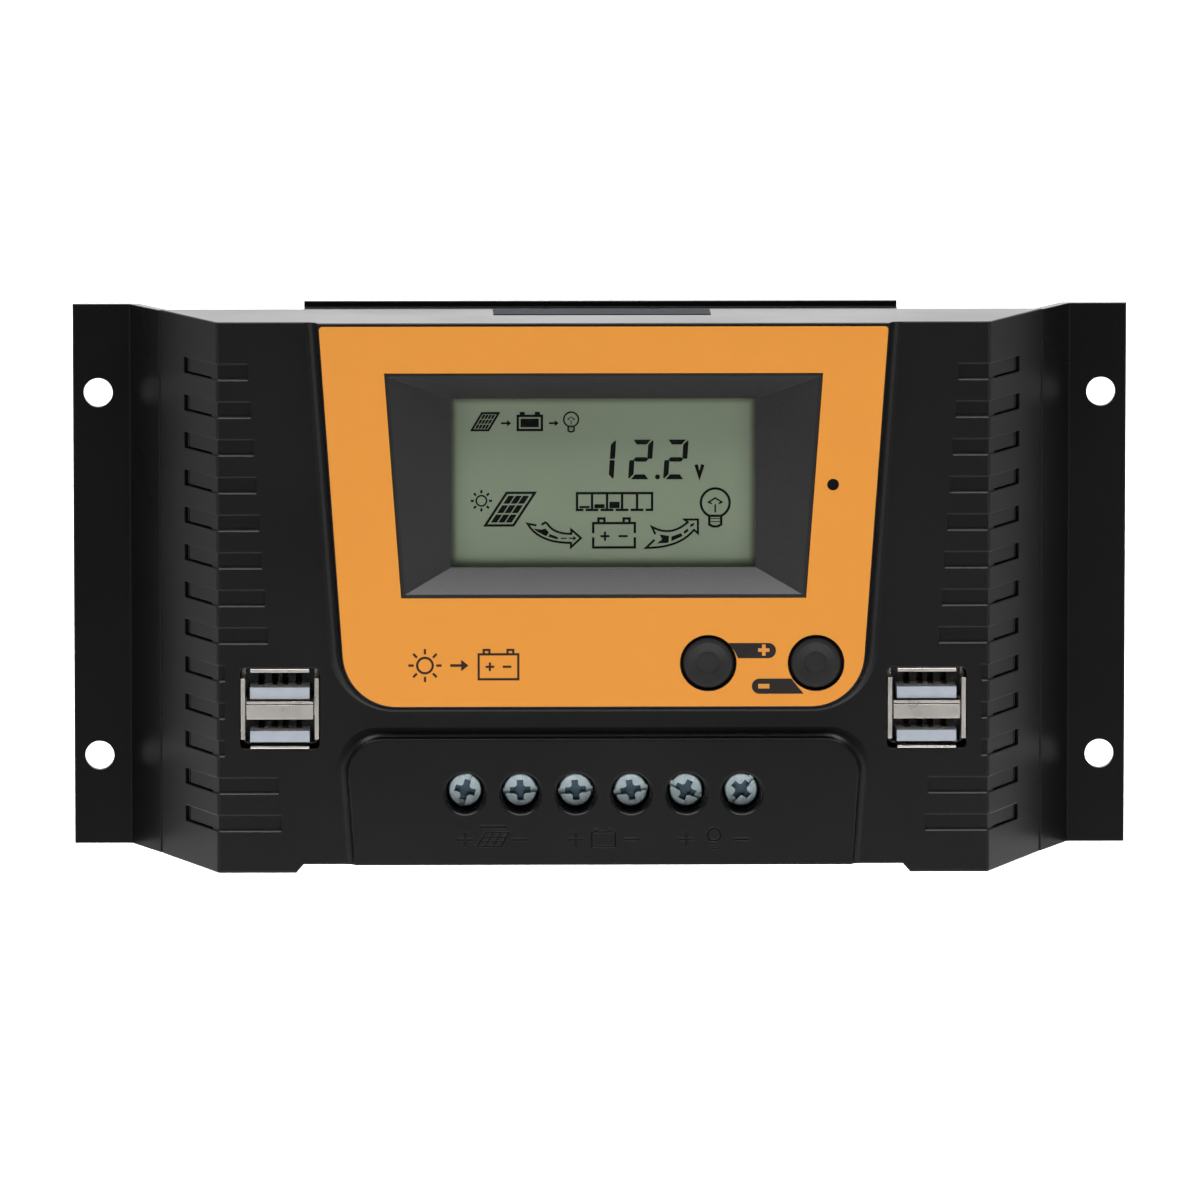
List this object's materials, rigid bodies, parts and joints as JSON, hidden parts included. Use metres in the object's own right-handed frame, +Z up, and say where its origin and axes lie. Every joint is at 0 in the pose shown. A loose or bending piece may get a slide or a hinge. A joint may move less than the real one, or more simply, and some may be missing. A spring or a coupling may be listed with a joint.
{
  "type": "solar charge controller",
  "caption": "Wall-mounted solar charge controller with a segment display, push buttons, double USB stacks and a row of screw terminals.",
  "frame": {"origin": "centre of the four mounting holes, on the plane of the wall", "axes": "+X to the right of someone facing the front, +Y into the wall (the front faces -Y), +Z up"},
  "size_m": [0.2, 0.048, 0.1043],
  "materials": {
    "plate_black": "satin black coating on bent sheet",
    "cover_black": "fine moulded grain",
    "label_orange": "printed film, satin",
    "label_grey": "plain label",
    "bezel_black": "coarse grain",
    "lens_clear": "clear acrylic",
    "lcd_glass": "grey-green display glass",
    "plastic_white": "satin",
    "board_green": "solder mask",
    "screw_steel": "bright",
    "screw_black": "black zinc",
    "screw_zinc": "bluish zinc plating",
    "cage_steel": "zinc plated",
    "contact_brass": "bright",
    "block_black": "moulded",
    "pad_grey": "matt",
    "tinned_metal": "tinned",
    "chip_black": "moulded epoxy",
    "capacitor_sleeve": "shrink sleeve",
    "core_yellow": "painted powder core",
    "copper_wire": "enamelled copper",
    "fuse_orange": "tinted",
    "light_pipe": "dark tinted",
    "button_black": "satin",
    "usb_metal": "nickel plated",
    "usb_dark": "moulded",
    "usb_white": "moulded"
  },
  "bodies": {
    "housing": {"back_plate": "plate_black", "blade_fuses": "fuse_orange", "board_header": "block_black", "board_screws": "screw_steel", "board_standoffs": "contact_brass", "capacitors": "capacitor_sleeve", "control_chip": "chip_black", "cover_screws": "screw_black", "current_shunt": "tinned_metal", "display_bezel": "bezel_black", "display_board": "board_green", "display_board_screws": "screw_steel", "display_lens": "lens_clear", "face_label": "label_orange", "front_cover": "cover_black", "header_pins": "contact_brass", "inductor_core": "core_yellow", "inductor_winding": "copper_wire", "lcd_backlight": "plastic_white", "lcd_panel": "lcd_glass", "main_board": "board_green", "mosfet_bodies": "chip_black", "mosfet_screws": "screw_steel", "mosfet_tabs": "tinned_metal", "status_led": "plastic_white", "status_light_pipe": "light_pipe", "switch_body_minus": "chip_black", "switch_body_plus": "chip_black", "terminal_block": "block_black", "terminal_contacts": "contact_brass", "thermal_pad": "pad_grey", "top_label": "label_grey", "usb_board_left": "board_green", "usb_board_pins": "contact_brass", "usb_board_right": "board_green", "usb_contacts_left": "contact_brass", "usb_contacts_right": "contact_brass", "usb_insulator_left": "usb_dark", "usb_insulator_right": "usb_dark", "usb_shell_left": "usb_metal", "usb_shell_right": "usb_metal", "usb_tongues_left": "usb_white", "usb_tongues_right": "usb_white"},
    "button_minus": {"button_cap_minus": "button_black", "switch_plunger_minus": "plastic_white"},
    "button_plus": {"button_cap_plus": "button_black", "switch_plunger_plus": "plastic_white"},
    "clamp_screw_1": {"terminal_screw_1": "screw_zinc"},
    "cage_1": {"clamp_cage_1": "cage_steel"},
    "clamp_screw_2": {"terminal_screw_2": "screw_zinc"},
    "cage_2": {"clamp_cage_2": "cage_steel"},
    "clamp_screw_3": {"terminal_screw_3": "screw_zinc"},
    "cage_3": {"clamp_cage_3": "cage_steel"},
    "clamp_screw_4": {"terminal_screw_4": "screw_zinc"},
    "cage_4": {"clamp_cage_4": "cage_steel"},
    "clamp_screw_5": {"terminal_screw_5": "screw_zinc"},
    "cage_5": {"clamp_cage_5": "cage_steel"},
    "clamp_screw_6": {"terminal_screw_6": "screw_zinc"},
    "cage_6": {"clamp_cage_6": "cage_steel"}
  },
  "joints": [
    {"name": "button_minus_press", "type": "slide", "parent": "housing", "child": "button_minus", "axis": [0, 1, 0], "range_m": [0, 0.0006], "stiffness_N_per_m": 500},
    {"name": "button_plus_press", "type": "slide", "parent": "housing", "child": "button_plus", "axis": [0, 1, 0], "range_m": [0, 0.0006], "stiffness_N_per_m": 500},
    {"name": "screw_1_turn", "type": "hinge", "parent": "housing", "child": "clamp_screw_1", "pos_m": [-0.02583, -0.035, -0.0366], "axis": [0, 1, 0], "range_deg": [0, 2070.5]},
    {"name": "cage_1_clamp", "type": "slide", "parent": "housing", "child": "cage_1", "axis": [0, -1, 0], "range_m": [0, 0.00402]},
    {"name": "screw_2_turn", "type": "hinge", "parent": "housing", "child": "clamp_screw_2", "pos_m": [-0.0155, -0.035, -0.0366], "axis": [0, 1, 0], "range_deg": [0, 2070.5]},
    {"name": "cage_2_clamp", "type": "slide", "parent": "housing", "child": "cage_2", "axis": [0, -1, 0], "range_m": [0, 0.00402]},
    {"name": "screw_3_turn", "type": "hinge", "parent": "housing", "child": "clamp_screw_3", "pos_m": [-0.00517, -0.035, -0.0366], "axis": [0, 1, 0], "range_deg": [0, 2070.5]},
    {"name": "cage_3_clamp", "type": "slide", "parent": "housing", "child": "cage_3", "axis": [0, -1, 0], "range_m": [0, 0.00402]},
    {"name": "screw_4_turn", "type": "hinge", "parent": "housing", "child": "clamp_screw_4", "pos_m": [0.00517, -0.035, -0.0366], "axis": [0, 1, 0], "range_deg": [0, 2070.5]},
    {"name": "cage_4_clamp", "type": "slide", "parent": "housing", "child": "cage_4", "axis": [0, -1, 0], "range_m": [0, 0.00402]},
    {"name": "screw_5_turn", "type": "hinge", "parent": "housing", "child": "clamp_screw_5", "pos_m": [0.0155, -0.035, -0.0366], "axis": [0, 1, 0], "range_deg": [0, 2070.5]},
    {"name": "cage_5_clamp", "type": "slide", "parent": "housing", "child": "cage_5", "axis": [0, -1, 0], "range_m": [0, 0.00402]},
    {"name": "screw_6_turn", "type": "hinge", "parent": "housing", "child": "clamp_screw_6", "pos_m": [0.02583, -0.035, -0.0366], "axis": [0, 1, 0], "range_deg": [0, 2070.5]},
    {"name": "cage_6_clamp", "type": "slide", "parent": "housing", "child": "cage_6", "axis": [0, -1, 0], "range_m": [0, 0.00402]}
  ],
  "couplings": [
    {"joint": "screw_1_turn", "follows": "cage_1_clamp", "rad_per_m": 8976},
    {"joint": "screw_2_turn", "follows": "cage_2_clamp", "rad_per_m": 8976},
    {"joint": "screw_3_turn", "follows": "cage_3_clamp", "rad_per_m": 8976},
    {"joint": "screw_4_turn", "follows": "cage_4_clamp", "rad_per_m": 8976},
    {"joint": "screw_5_turn", "follows": "cage_5_clamp", "rad_per_m": 8976},
    {"joint": "screw_6_turn", "follows": "cage_6_clamp", "rad_per_m": 8976}
  ]
}
